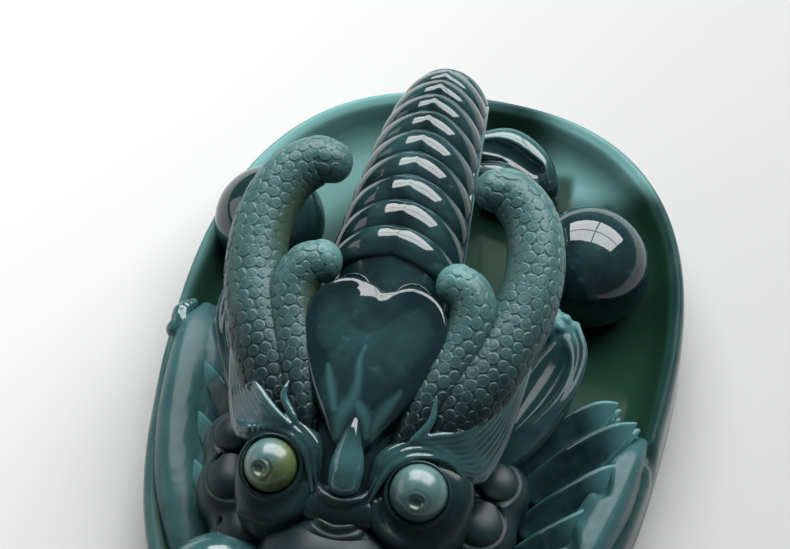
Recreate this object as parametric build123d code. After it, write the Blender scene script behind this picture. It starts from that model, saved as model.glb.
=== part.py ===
from build123d import *
import math
import os

# A jade dragon plaque: one stone carved in high relief, modelled as its separate carved forms.
#
# The plaque lies on its flat back. +Z is the way the relief rises, +Y runs up the plaque to the tip
# of the dragon's crest, and +X is to the right of someone facing the relief. The origin is the
# centre of the flat back. Millimetres. Forms that grow out of each other meet face to face.

# ---- driving dimensions ------------------------------------------------------------------------
PLAQUE_WIDTH = 48.0
PLAQUE_LENGTH = 70.0
OUTLINE_POWER = 2.5  # 2 is an ellipse, and more is squarer
OUTLINE_TAPER = 0.06  # how much wider the plaque is at the top than at the bottom
OUTLINE_POINTS = 40
FLOOR_TOP = 3.5  # thickness of the tray's floor
RIM_TOP = 8.0
RIM_WIDTH = 2.4
EDGE_ROUND = 1.2

BAND_WIDTH = 2.8
BAND_TOP = 9.4
BAND_FOOT = -25.0  # where the bands end, towards the plaque's lower end
HEAD_X = -2.0  # the dragon's mid-plane lies a little left of the plaque's
SMALLEST_PIECE = 0.3  # mm3; anything smaller that a cut leaves is dropped

# The crest's ridge: along Y, height of its top, and half its width.
CREST = [
    (-3.2, 24.9, 6.5),
    (2.5, 26.2, 6.2),
    (9.0, 27.0, 5.6),
    (15.5, 26.8, 5.0),
    (21.0, 25.2, 4.5),
    (25.0, 22.6, 3.9),
    (27.6, 18.8, 3.1),
]
CREST_PLATES = 10
PLATE_THICKNESS = 1.2
PLATE_SKIRT = 5.2  # how far down its sides a plate reaches
CREST_ARCH = 4.2

HORN_PATH = [(8.2, -11.5, 18.4), (10.6, -6.3, 20.4), (12.2, -1.6, 22.0), (12.4, 3.0, 23.6),
             (11.2, 6.9, 25.2), (9.0, 8.9, 26.4), (6.9, 8.8, 27.0)]
HORN_RADII = [2.9, 2.9, 2.8, 2.7, 2.5, 2.2, 1.8]
TINE_PATH = [(4.9, -13.6, 19.6), (6.2, -9.9, 20.8), (7.7, -6.0, 22.0), (8.2, -3.2, 23.2),
             (7.4, -1.2, 24.2), (6.0, -0.8, 24.6)]
TINE_RADII = [1.3, 1.7, 1.9, 1.9, 1.8, 1.5]

EYE = (6.6, -18.7, 17.6)
EYE_RADIUS = 2.6
SNOUT_FOLDS = 3
JAW_LINE = 6.6
PEARL = (15.4, 15.6, 8.0)
PEARL_RADIUS = 5.4

placed = {}  # node name: its solids
filled = []  # every solid placed so far, with its bounding box


# ---- shape helpers -----------------------------------------------------------------------------
def ellipsoid(centre, radii, turn=(0, 0, 0)):
    """A solid ellipsoid about centre, turned by degrees about X, Y and Z."""
    return Pos(*centre) * Rot(*turn) * scale(Sphere(1), by=radii)


def spindle(start, end, width, height):
    """An ellipsoid whose long axis runs from start to end."""
    along = Vector(*end) - Vector(*start)
    middle = (Vector(*start) + Vector(*end)) / 2
    heading = math.degrees(math.atan2(along.Y, along.X))
    climb = math.degrees(math.atan2(along.Z, math.hypot(along.X, along.Y)))
    body = scale(Sphere(1), by=(along.length / 2, width / 2, height / 2))
    return Pos(middle) * Rot(0, 0, heading) * Rot(0, -climb, 0) * body


def taper(start, end, first_radius, last_radius):
    """A straight round form from start to end that narrows on the way."""
    along = Vector(*end) - Vector(*start)
    base = (Align.CENTER, Align.CENTER, Align.MIN)
    return Plane(origin=start, z_dir=along) * Cone(first_radius, last_radius, along.length, align=base)


def tapered_tube(points, radii):
    """A tube through points whose radius changes on the way."""
    path = Spline(*points)
    rings = []
    for i, radius in enumerate(radii):
        share = i / (len(radii) - 1)
        place = Plane(origin=path @ share, z_dir=path % share)
        rings.append(place * Circle(radius))
    return loft(rings)


def above(shape, height):
    """The part of shape that is higher than height."""
    size = 200
    return shape & Pos(0, 0, height + size / 2) * Box(size, size, size)


def mirrored(shape):
    return mirror(shape, about=Plane.YZ)


def pieces_of(shape):
    return [s for s in shape.solids() if s.volume > SMALLEST_PIECE]


def near(p, q):
    """Whether two bounding boxes overlap."""
    return all(
        low < high
        for low, high in (
            (p.min.X, q.max.X), (q.min.X, p.max.X),
            (p.min.Y, q.max.Y), (q.min.Y, p.max.Y),
            (p.min.Z, q.max.Z), (q.min.Z, p.max.Z),
        )
    )


def fill(solids):
    """Notes the space that finished solids take up, for later nodes to keep out of."""
    filled.extend((solid, solid.bounding_box(optimal=False)) for solid in solids)


def keep(name, solids):
    """Records a node's finished solids."""
    if not solids:
        raise ValueError(f"{name} lies wholly inside earlier nodes")
    placed[name] = solids


def place(name, shape, on_head=True):
    """Keeps shape as the node name, less whatever earlier nodes already fill."""
    if on_head:
        shape = Pos(HEAD_X, 0, 0) * shape
    room = shape.bounding_box(optimal=False)
    for solid, box in filled:
        if near(box, room):
            shape = shape - solid
    keep(name, pieces_of(shape))
    fill(placed[name])


def place_pair(name, shape):
    """The same form on the dragon's right and left sides (+X is right).

    The left one is the mirror of the right one as cut, because the head is symmetric.
    """
    place("right_" + name, shape)
    middle = Plane(origin=(HEAD_X, 0, 0), z_dir=(1, 0, 0))
    keep("left_" + name, [mirror(solid, about=middle) for solid in placed["right_" + name]])
    fill(placed["left_" + name])


def place_both(name, shape):
    """As place_pair, for a form that meets the plaque's rim, which isn't symmetric."""
    place("right_" + name, shape)
    place("left_" + name, mirrored(shape))


# ---- the tray ----------------------------------------------------------------------------------
def outline(inset):
    """The plaque's rounded outline as a closed curve, moved inwards by inset."""
    points = []
    for i in range(OUTLINE_POINTS):
        angle = 2 * math.pi * i / OUTLINE_POINTS
        c, s = math.cos(angle), math.sin(angle)
        x = math.copysign(abs(c) ** (2 / OUTLINE_POWER), c)
        y = math.copysign(abs(s) ** (2 / OUTLINE_POWER), s)
        widen = (1 + OUTLINE_TAPER * y) / (1 + OUTLINE_TAPER * 0.25)
        points.append(((PLAQUE_WIDTH / 2 - inset) * x * widen, (PLAQUE_LENGTH / 2 - inset) * y))
    return Spline(*points, periodic=True)


def make_tray():
    whole = make_face(outline(0))
    opening = make_face(outline(RIM_WIDTH))
    floor = extrude(whole, FLOOR_TOP)
    floor = fillet(floor.edges().group_by(Axis.Z)[0], EDGE_ROUND)
    ring = Pos(0, 0, FLOOR_TOP) * extrude(whole, RIM_TOP - FLOOR_TOP)
    ring = fillet(ring.edges().group_by(Axis.Z)[-1], EDGE_ROUND * 0.8)
    ring = ring - Pos(0, 0, FLOOR_TOP) * extrude(opening, RIM_TOP)
    place("tray_floor", floor, on_head=False)
    keep("tray_rim", pieces_of(ring))
    fill(placed["tray_rim"])


# ---- the head ----------------------------------------------------------------------------------
def crest_loft(inset, foot):
    """The crest's arch swept along its ridge. foot gives how high each section starts."""
    sections = []
    for y, top, half in CREST:
        half, top = half - inset, top - inset
        spring = top - CREST_ARCH + inset
        bottom = foot(top)
        sides = [
            Line((-half, bottom), (half, bottom)),
            Line((half, bottom), (half, spring)),
            EllipticalCenterArc((0, spring), half, top - spring, start_angle=0, arc_size=180),
            Line((-half, spring), (-half, bottom)),
        ]
        place_at = Plane(origin=(0, y, 0), x_dir=(1, 0, 0), z_dir=(0, -1, 0))
        sections.append(place_at * make_face(sides))
    return Pos(HEAD_X, 0, 0) * loft(sections)


def make_crest():
    """A wall down to the tray floor, roofed by a row of arched plates."""
    whole = crest_loft(0, lambda top: FLOOR_TOP)
    spine = crest_loft(PLATE_THICKNESS, lambda top: FLOOR_TOP)
    roof = crest_loft(0, lambda top: top - PLATE_SKIRT) - spine
    keep("crest_spine", pieces_of(spine))
    first, last = CREST[0][0], CREST[-1][0]
    pitch = (last - first) / CREST_PLATES
    for i in range(CREST_PLATES):
        slice_box = Pos(HEAD_X, first + pitch * (i + 0.5), 20) * Box(60, pitch, 60)
        keep(f"crest_plate_{i + 1:02d}", pieces_of(roof & slice_box))
    fill([whole])


def make_skull():
    place("head_core", above(ellipsoid((0, -9.5, 8.5), (10.4, 13.5, 11.5)), FLOOR_TOP))
    place("snout", above(ellipsoid((0, -22.8, 9.6), (7.2, 8.6, 5.8)), JAW_LINE))
    jaw = above(ellipsoid((0, -22.4, 5.6), (6.2, 6.8, 2.9)), FLOOR_TOP)
    place("lower_jaw", jaw - Pos(0, 0, JAW_LINE + 10) * Box(60, 80, 20))


def make_heart():
    """The polished heart-shaped boss on the brow, with its crown following the skull's slope."""
    edge = Spline(
        (0, -18.0), (3.4, -14.6), (6.0, -9.6), (6.2, -5.6), (3.6, -3.4), (0, -5.2),
        (-3.6, -3.4), (-6.2, -5.6), (-6.0, -9.6), (-3.4, -14.6),
        periodic=True,
    )
    column = Pos(0, 0, 14) * extrude(make_face(edge), 14)
    crown = ellipsoid((0, -8.6, 17.4), (9.6, 13.6, 7.6), turn=(14, 0, 0))
    place("forehead_heart", column & crown)
    place("nose_ridge", spindle((0, -12.0, 23.0), (0, -21.2, 18.2), 4.0, 4.8))


def make_face_parts():
    place_pair("eye", Pos(*EYE) * Sphere(EYE_RADIUS))
    lid = ellipsoid((7.0, -18.5, 16.2), (4.2, 4.0, 3.4), turn=(0, 12, 20))
    place_pair("eyelid", lid)
    place_pair("brow", taper((4.4, -16.2, 18.2), (12.8, -12.6, 17.6), 1.5, 2.3))
    for i in range(SNOUT_FOLDS):
        y, z = -21.4 - 2.1 * i, 15.9 - 0.5 * i
        place(f"snout_fold_{i + 1}", spindle((-3.6, y, z), (3.6, y, z), 2.3, 2.8))
    place_pair("nostril", ellipsoid((3.3, -28.6, 13.2), (2.5, 2.9, 2.3)))
    lip_points = [(-6.9, -22.5, 8.2), (-6.2, -27.8, 7.8), (-3.2, -31.2, 7.6), (0, -32.0, 7.9),
                  (3.2, -31.2, 7.6), (6.2, -27.8, 7.8), (6.9, -22.5, 8.2)]
    place("upper_lip", tapered_tube(lip_points, [1.0, 1.3, 1.4, 1.4, 1.4, 1.3, 1.0]))
    fang = Pos(4.6, -29.3, 5.4) * Rot(180, 0, 0) * Cone(0.9, 0.25, 3.2)
    place("fangs", above(fang + mirrored(fang), FLOOR_TOP))
    whisker = [(5.6, -29.4, 11.4), (9.2, -31.0, 10.4), (12.8, -29.6, 9.4), (14.8, -26.4, 8.8),
               (13.6, -24.0, 9.4)]
    place_both("whisker", tapered_tube(whisker, [1.1, 0.95, 0.8, 0.7, 0.6]))


def make_horns():
    place_pair("horn", tapered_tube(HORN_PATH, HORN_RADII))
    place_pair("horn_tine", tapered_tube(TINE_PATH, TINE_RADII))


def make_ears_and_cheeks():
    ear = spindle((12.0, -10.6, 12.6), (16.6, 4.2, 14.6), 5.2, 4.6)
    hollow = spindle((13.4, -6.4, 16.2), (16.6, 1.8, 17.2), 2.6, 4.0)
    place_pair("ear", ear - hollow)
    curls = [((12.6, -12.8, 10.6), 3.3), ((11.6, -17.2, 9.4), 3.5), ((9.4, -21.6, 8.2), 3.3)]
    bulges = [Pos(*at) * Sphere(r) for at, r in curls]
    place_pair("cheek_curls", bulges[0] + bulges[1] + bulges[2])
    place_both("pearl", above(Pos(*PEARL) * Sphere(PEARL_RADIUS), FLOOR_TOP))
    boss = above(ellipsoid((10.8, -27.0, 5.6), (4.6, 4.8, 3.9)), FLOOR_TOP)
    place_both("cloud_boss", boss)


# ---- the mane, clouds and rim ornaments --------------------------------------------------------
def make_bands():
    """The long ridge inside the rim on each side, which carries the mane."""
    outer = make_face(outline(RIM_WIDTH))
    inner = make_face(outline(RIM_WIDTH + BAND_WIDTH))
    ring = Pos(0, 0, FLOOR_TOP) * extrude(outer, BAND_TOP - FLOOR_TOP)
    ring = ring - Pos(0, 0, FLOOR_TOP) * extrude(inner, BAND_TOP)
    for name, sign, top in (("right_mane_band", 1, -3.0), ("left_mane_band", -1, 1.0)):
        reach = top - BAND_FOOT
        side = Pos(sign * 15, (top + BAND_FOOT) / 2, FLOOR_TOP) * Box(30, reach, 30)
        place(name, ring & side, on_head=False)


def make_mane():
    """Flame locks from the cheeks to the bands. Their places differ by side."""
    locks = {
        "right": [((12.6, -8.4, 9.0), (19.4, -0.8, 10.4)), ((13.6, -10.6, 7.0), (19.0, -4.4, 9.8)),
                  ((13.6, -14.6, 7.0), (18.8, -9.6, 8.8)), ((12.6, -18.8, 6.6), (18.2, -14.2, 8.2))],
        "left": [((-15.0, -4.2, 8.0), (-20.4, 2.6, 9.4)), ((-15.0, -8.6, 8.0), (-19.0, -3.6, 8.8)),
                 ((-14.6, -13.2, 7.6), (-19.0, -8.6, 8.6)), ((-15.4, -19.6, 9.0), (-19.0, -14.0, 10.8))],
    }
    for side, ends in locks.items():
        for i, (root, tip) in enumerate(ends):
            place(f"{side}_mane_lock_{i + 1}", taper(root, tip, 2.0, 0.5), on_head=False)


def make_ornaments():
    tufts = [spindle((x * 0.4, -27.2, 5.2), (x, -31.9 + abs(x) * 0.1, 5.4), 2.4, 3.6)
             for x in (-4.4, 0, 4.4)]
    place("beard", above(tufts[0] + tufts[1] + tufts[2], FLOOR_TOP))
    fold = Pos(5.0, 27.4, 6.3) * Rot(0, 0, -18) * Box(5.0, 6.4, 5.6)
    place("crest_ribbon", fillet(fold.edges(), 0.5))
    place("rim_scroll", ellipsoid((-22.4, 1.6, 7.9), (1.5, 2.4, 1.6)), on_head=False)


def main():
    make_tray()
    make_crest()
    make_skull()
    make_heart()
    make_horns()
    make_face_parts()
    make_ears_and_cheeks()
    make_bands()
    make_mane()
    make_ornaments()
    os.makedirs("parts", exist_ok=True)
    for name, solids in placed.items():
        shape = solids[0] if len(solids) == 1 else Compound(children=list(solids))
        export_step(shape, f"parts/{name}.step")


main()
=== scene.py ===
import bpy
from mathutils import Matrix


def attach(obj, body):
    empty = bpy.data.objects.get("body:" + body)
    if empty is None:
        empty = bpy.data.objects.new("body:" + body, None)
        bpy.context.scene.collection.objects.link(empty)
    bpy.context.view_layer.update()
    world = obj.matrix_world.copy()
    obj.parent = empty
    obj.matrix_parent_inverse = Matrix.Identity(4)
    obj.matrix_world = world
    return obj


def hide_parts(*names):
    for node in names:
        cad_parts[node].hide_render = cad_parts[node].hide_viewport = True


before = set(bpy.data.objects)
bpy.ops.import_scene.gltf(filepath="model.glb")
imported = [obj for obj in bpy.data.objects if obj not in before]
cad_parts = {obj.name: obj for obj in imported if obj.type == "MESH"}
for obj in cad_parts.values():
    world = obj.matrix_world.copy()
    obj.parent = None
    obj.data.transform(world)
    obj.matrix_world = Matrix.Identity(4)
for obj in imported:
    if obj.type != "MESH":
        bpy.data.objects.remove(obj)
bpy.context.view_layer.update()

import copy
import math

import bpy
import numpy as np
import openvdb
from mathutils import Euler, Vector

# The jade dragon plaque's looks. Shapes are worked out here in millimetres, in the frame of the CAD
# model, and their meshes are written in metres. The head's forms are given from its mid-plane,
# which lies at HEAD_X, and the left ones are mirror images of the right ones unless they differ.
MM = 0.001
HEAD_X = -2.0
RIGHT, LEFT = 1, -1

# The plaque: the same driving dimensions as the CAD model's.
HALF_WIDTH, HALF_LENGTH = 24.0, 35.0
OUTLINE_POWER = 2.5
OUTLINE_TAPER = 0.06
FLOOR_TOP = 3.5
RIM_TOP = 8.0


# ---- numbers and curves ----------------------------------------
def smoothstep(low, high, value):
    t = np.clip((value - low) / (high - low), 0.0, 1.0)
    return t * t * (3.0 - 2.0 * t)


def curve(points, count):
    """count rows evenly spread on a smooth curve through points, which may carry radii as well."""
    p = np.asarray(points, float)
    p = np.vstack([2 * p[0] - p[1], p, 2 * p[-1] - p[-2]])
    fine = []
    for a, b, c, d in zip(p, p[1:], p[2:], p[3:]):
        for t in np.linspace(0, 1, 24, endpoint=False):
            fine.append(0.5 * (2 * b + (c - a) * t + (2 * a - 5 * b + 4 * c - d) * t ** 2
                               + (3 * b - a - 3 * c + d) * t ** 3))
    fine = np.array(fine + [p[-2]])
    steps = np.linalg.norm(np.diff(fine[:, :3], axis=0), axis=1)
    along = np.concatenate([[0], np.cumsum(steps)])
    wanted = np.linspace(0, along[-1], count)
    return np.stack([np.interp(wanted, along, column) for column in fine.T], 1)


def outline(inset, angle):
    """The plaque's rounded outline, moved inwards by inset, at each angle."""
    c, s = np.cos(angle), np.sin(angle)
    x = np.sign(c) * np.abs(c) ** (2 / OUTLINE_POWER)
    y = np.sign(s) * np.abs(s) ** (2 / OUTLINE_POWER)
    widen = (1 + OUTLINE_TAPER * y) / (1 + OUTLINE_TAPER * 0.25)
    return (HALF_WIDTH - inset) * x * widen, (HALF_LENGTH - inset) * y


def scatter(i, j, salt):
    """A repeatable number from 0 to 1 for each pair of whole numbers."""
    value = np.sin(i * 12.9898 + j * 78.233 + salt * 37.719) * 43758.5453
    return value - np.floor(value)


# ---- meshes ----------------------------------------------------
def add_piece(name, nodes, look, points, quads, triangles=(), tones=None):
    """Makes a piece from points in millimetres, and lets it stand for the CAD nodes given."""
    points = np.asarray(points, float)
    quads = np.asarray(quads, np.int32).reshape(-1, 4)
    triangles = np.asarray(triangles, np.int32).reshape(-1, 3)
    halves = np.vstack([quads[:, [0, 1, 2]], quads[:, [0, 2, 3]], triangles])
    a, b, c = (points[halves[:, i]] for i in range(3))
    if np.einsum("ij,ij->", a, np.cross(b, c)) < 0:
        quads, triangles = quads[:, ::-1], triangles[:, ::-1]
    corners = np.concatenate([quads.ravel(), triangles.ravel()])
    sizes = np.concatenate([np.full(len(quads), 4), np.full(len(triangles), 3)])
    starts = np.concatenate([[0], np.cumsum(sizes)[:-1]])
    mesh = bpy.data.meshes.new(name)
    mesh.vertices.add(len(points))
    mesh.vertices.foreach_set("co", (points * MM).astype(np.float32).ravel())
    mesh.loops.add(len(corners))
    mesh.loops.foreach_set("vertex_index", corners.astype(np.int32))
    mesh.polygons.add(len(sizes))
    mesh.polygons.foreach_set("loop_start", starts.astype(np.int32))
    mesh.update(calc_edges=True)
    mesh.validate()
    mesh.shade_smooth()
    for tone, values in (tones or {}).items():
        layer = mesh.attributes.new(tone, "FLOAT", "POINT")
        layer.data.foreach_set("value", np.asarray(values, np.float32).ravel())
    mesh.materials.append(MATERIALS[look])
    piece = bpy.data.objects.new(name, mesh)
    bpy.context.scene.collection.objects.link(piece)
    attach(piece, "root")
    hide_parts(*nodes)


def ring_quads(index):
    """The quads between each row of a grid of point numbers and the next, closed round the rows."""
    turned = np.roll(index, -1, axis=1)
    return np.stack([index[:-1], turned[:-1], turned[1:], index[1:]], -1).reshape(-1, 4)


def add_skin(name, nodes, look, rings, tones=None):
    """A closed form from rings of points. The first and last rings are closed by fans."""
    rows, across = rings.shape[:2]
    index = np.arange(rows * across).reshape(rows, across)
    turned = np.roll(index, -1, axis=1)
    points = np.vstack([rings.reshape(-1, 3), rings[0].mean(0), rings[-1].mean(0)])
    fans = [np.stack([turned[0], index[0], np.full(across, rows * across)], -1),
            np.stack([index[-1], turned[-1], np.full(across, rows * across + 1)], -1)]
    tones = {key: np.append(v, [v[0].mean(), v[-1].mean()]) for key, v in (tones or {}).items()}
    add_piece(name, nodes, look, points, ring_quads(index), np.vstack(fans), tones)


def head_points(points, side):
    """The head's points in the plaque's frame, mirrored for a left form."""
    return points * (-1 if side == LEFT else 1, 1, 1) + (HEAD_X, 0, 0)


def frames_along(path):
    """For each point of a path, two directions square to it that don't twist on the way."""
    ahead = np.gradient(path, axis=0)
    ahead /= np.linalg.norm(ahead, axis=1)[:, None]
    side = np.cross(ahead[0], (0.0, 0.0, 1.0))
    if np.linalg.norm(side) < 0.1:
        side = np.cross(ahead[0], (1.0, 0.0, 0.0))
    sides = []
    for direction in ahead:
        side = side - direction * side.dot(direction)
        side = side / np.linalg.norm(side)
        sides.append(side)
    sides = np.array(sides)
    return sides, np.cross(sides, ahead)


# ---- clay: forms carved from a grid of distances ---------------
class Clay:
    """A block of space on a grid that holds the distance to the form being built in it."""

    FAR = 1.5

    def __init__(self, low, high, step):
        self.low, self.step = np.array(low, float), step
        counts = np.ceil((np.array(high, float) - self.low) / step).astype(int) + 1
        self.field = np.full(counts, self.FAR, np.float32)

    def window(self, low, high, margin):
        """The part of the grid near a box, with its coordinates."""
        first = np.floor((np.array(low) - margin - self.low) / self.step).astype(int)
        last = np.ceil((np.array(high) + margin - self.low) / self.step).astype(int) + 1
        first = np.clip(first, 0, self.field.shape)
        last = np.clip(last, 0, self.field.shape)
        part = tuple(slice(f, e) for f, e in zip(first, last))
        axes = [(self.low[i] + self.step * np.arange(first[i], last[i])).astype(np.float32)
                for i in range(3)]
        return part, axes[0][:, None, None], axes[1][None, :, None], axes[2][None, None, :]

    def whole(self):
        """All of the grid, with its coordinates."""
        return self.window(self.low, self.low + self.step * np.array(self.field.shape), 0)

    def join(self, part, distance, blend):
        old = self.field[part]
        near = np.maximum(blend - np.abs(old - distance), 0) / max(blend, 1e-6)
        self.field[part] = np.minimum(old, distance) - near * near * blend / 4

    def cut(self, part, distance, blend):
        old = self.field[part]
        near = np.maximum(blend - np.abs(old + distance), 0) / max(blend, 1e-6)
        self.field[part] = np.maximum(old, -distance) + near * near * blend / 4

    def bar(self, start, end, start_radius, end_radius, blend, action):
        a, b = np.array(start, float), np.array(end, float)
        reach = max(start_radius, end_radius) + blend
        part, x, y, z = self.window(np.minimum(a, b), np.maximum(a, b), reach + 3 * self.step)
        d = b - a
        length = max(float(d.dot(d)), 1e-9)
        t = np.clip(((x - a[0]) * d[0] + (y - a[1]) * d[1] + (z - a[2]) * d[2]) / length, 0, 1)
        off = np.sqrt((x - a[0] - t * d[0]) ** 2 + (y - a[1] - t * d[1]) ** 2
                      + (z - a[2] - t * d[2]) ** 2)
        action(part, off - start_radius - t * (end_radius - start_radius), blend)

    def strand(self, points, blend=0.3, count=12, cut=False):
        """A tapering strand along a smooth curve through points, each (x, y, z, radius)."""
        rows = curve(points, count)
        own = copy.copy(self)
        own.field = np.full_like(self.field, self.FAR)
        for a, b in zip(rows, rows[1:]):
            own.bar(a[:3], b[:3], a[3], b[3], 0, own.join)
        (self.cut if cut else self.join)(..., own.field, blend)

    def strands(self, points, blend, count=12):
        """A strand on each side of the head's mid-plane."""
        for sign in (RIGHT, LEFT):
            self.strand(np.array(points) * (sign, 1, 1, 1), blend, count)

    def ball(self, centre, radii, turn=(0, 0, 0), blend=0.3, cut=False):
        """An ellipsoid turned by degrees about X, Y and Z."""
        c, r = np.array(centre, float), np.array(radii, float)
        size = r.max()
        part, x, y, z = self.window(c - size, c + size, blend + 3 * self.step)
        back = np.array(Euler([math.radians(a) for a in turn]).to_matrix().transposed())
        x, y, z = x - c[0], y - c[1], z - c[2]
        q = [back[i, 0] * x + back[i, 1] * y + back[i, 2] * z for i in range(3)]
        inner = np.sqrt(sum((q[i] / r[i]) ** 2 for i in range(3)))
        outer = np.sqrt(sum((q[i] / r[i] ** 2) ** 2 for i in range(3)))
        distance = inner * (inner - 1) / np.maximum(outer, 1e-6)
        (self.cut if cut else self.join)(part, distance, blend)

    def ring(self, centre, radii, thickness, turn=(0, 0, 0), blend=0.2, cut=False):
        """A flattened hoop with half-widths radii, in the plane square to its own Z."""
        c = np.array(centre, float)
        turned = np.array(Euler([math.radians(a) for a in turn]).to_matrix())
        rows = []
        for angle in np.linspace(0, 2 * math.pi, 29):
            local = np.array([radii[0] * math.cos(angle), radii[1] * math.sin(angle), 0])
            rows.append((*(c + turned @ local), thickness))
        self.strand(rows, blend, 60, cut)

    def keep_above(self, height=FLOOR_TOP):
        z = self.low[2] + self.step * np.arange(self.field.shape[2])
        self.field = np.maximum(self.field, (height - z)[None, None, :].astype(np.float32))

    def surface(self):
        """The form's surface as points and quads."""
        for axis in range(3):
            edge = [slice(None)] * 3
            for side in (0, -1):
                edge[axis] = side
                self.field[tuple(edge)] = self.FAR
        grid = openvdb.FloatGrid(background=self.FAR)
        grid.copyFromArray(self.field)
        points, quads = grid.convertToQuads(isovalue=0.0)
        return points * self.step + self.low, quads

    def finish(self, node, ending, look, side=None, tone=None):
        """Makes the piece for a CAD node. side is None for a form given in the plaque's frame, 0
        for one on the head's mid-plane, and RIGHT or LEFT for one of a pair. A tone is a rule or
        a number."""
        points, quads = self.surface()
        tones = {key: rule(*points.T) if callable(rule) else np.full(len(points), rule)
                 for key, rule in (tone or {}).items()}
        if side is not None:
            points = head_points(points, side)
        add_piece(f"{node}_{ending}", [node], look, points, quads, tones=tones)


def by_height(base, gain, low, high):
    """A tone that is base at the height low and base + gain at the height high."""
    return lambda x, y, z: base + gain * smoothstep(low, high, z)


def pair_names(name):
    return ((RIGHT, "right_" + name), (LEFT, "left_" + name))


# ---- materials -------------------------------------------------
MATERIALS = {}


def set_inputs(node, **values):
    for name, value in values.items():
        node.inputs[name.replace("_", " ")].default_value = value


def new_material(name):
    """A material, its nodes, its links, and each point's place on its object's own axes."""
    material = bpy.data.materials.new(name)
    material.use_nodes = True
    nodes, links = material.node_tree.nodes, material.node_tree.links
    return material, nodes, links, nodes.new("ShaderNodeTexCoord").outputs["Object"]


def jade(name, dark, light, green, roughness, veins=0.35, scatter_depth=0.6, specular=0.5):
    """Jade: a dark body, lighter where the tone "light" says so or a cloud passes, greener where
    the tone "green" says so and duller where "dull" does, with fine marks in its gloss. The tone
    "light" holds both paler stone and painted light: painted highlights, reflections and glows,
    and painted shade."""
    material, nodes, links, place = new_material(name)
    shader = nodes["Principled BSDF"]

    def noise(scale, detail, spread):
        node = nodes.new("ShaderNodeTexNoise")
        set_inputs(node, Scale=scale, Detail=detail, Distortion=spread)
        links.new(place, node.inputs["Vector"])
        return node.outputs["Fac"]

    def tone(word):
        node = nodes.new("ShaderNodeAttribute")
        node.attribute_name = word
        return node.outputs["Fac"]

    def spread_over(value, low, high, to_low, to_high):
        node = nodes.new("ShaderNodeMapRange")
        set_inputs(node, From_Min=low, From_Max=high, To_Min=to_low, To_Max=to_high)
        links.new(value, node.inputs["Value"])
        return node.outputs[0]

    def add(a, b):
        node = nodes.new("ShaderNodeMath")
        node.use_clamp = True
        links.new(a, node.inputs[0])
        links.new(b, node.inputs[1])
        return node.outputs[0]

    def mix(factor, a, b):
        node = nodes.new("ShaderNodeMix")
        node.data_type = "RGBA"
        links.new(factor, node.inputs["Factor"])
        for socket, value in ((node.inputs["A"], a), (node.inputs["B"], b)):
            if isinstance(value, tuple):
                socket.default_value = (*value, 1)
            else:
                links.new(value, socket)
        return node.outputs["Result"]

    clouds = spread_over(noise(130, 3.0, 1.2), 0.38, 0.72, 0.0, veins)
    flecks = spread_over(noise(900, 2.0, 0.0), 0.63, 0.8, 0.0, veins * 0.6)
    body = mix(add(add(clouds, flecks), tone("light")), dark, light)
    links.new(mix(tone("green"), body, green), shader.inputs["Base Color"])
    gloss = spread_over(noise(420, 4.0, 0.0), 0.0, 1.0, roughness * 0.8, roughness * 1.3)
    links.new(add(gloss, tone("dull")), shader.inputs["Roughness"])
    set_inputs(shader, IOR=1.66, Specular_IOR_Level=specular, Subsurface_Weight=0.5,
               Subsurface_Radius=(0.6, 1.0, 0.95), Subsurface_Scale=scatter_depth * MM)
    MATERIALS[name] = material


MOSS = (0.020, 0.060, 0.035)
jade("jade_polished", (0.0050, 0.0205, 0.0240), (0.060, 0.170, 0.180), MOSS, 0.05)
jade("jade_skin", (0.0040, 0.0140, 0.0165), (0.045, 0.115, 0.120), MOSS, 0.16,
     veins=0.2, specular=0.20)
jade("jade_flame", (0.0040, 0.0160, 0.0185), (0.085, 0.230, 0.240), MOSS, 0.10,
     veins=0.2, specular=0.14)
jade("jade_tray", (0.0070, 0.0290, 0.0275), (0.190, 0.400, 0.390), (0.012, 0.042, 0.027), 0.07,
     veins=0.08, specular=0.03)
jade("jade_satin", (0.0045, 0.0140, 0.0160), (0.090, 0.205, 0.205), (0.050, 0.080, 0.040), 0.32,
     veins=0.2, scatter_depth=0.8, specular=0.20)
jade("jade_eye", (0.035, 0.085, 0.088), (0.100, 0.195, 0.190), (0.110, 0.150, 0.050), 0.24,
     veins=0.2, scatter_depth=1.0)


# ---- the tray --------------------------------------------------
OUTSIDE_LIGHT = 0.05


def make_tray_floor():
    angle = np.linspace(0, 2 * math.pi, 220, endpoint=False)
    profile = [(22.0, 0.0), (12.0, 0.0), (2.2, 0.0), (1.2, 0.0), (0.5, 0.25), (0.12, 0.75),
               (0.0, 1.4), (0.0, 2.3), (0.06, 2.45), (0.5, 2.6), (2.0, 2.9), (8.0, 3.3),
               (12.0, 3.32), (17.0, 3.38), (22.0, 3.4)]
    rings = []
    for inset, z in profile:
        x, y = outline(inset, angle)
        rings.append(np.stack([x, y, np.full_like(x, z)], 1))
    rings = np.array(rings)
    edge = smoothstep(8.0, 1.0, np.array([p[0] for p in profile]))[:, None]
    green = np.repeat(1.0 - edge, len(angle), 1)
    add_skin("tray_floor_slab", ["tray_floor"], "jade_tray", rings,
             {"light": (1 - green) * OUTSIDE_LIGHT, "green": green, "dull": green * 0.05})


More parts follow.
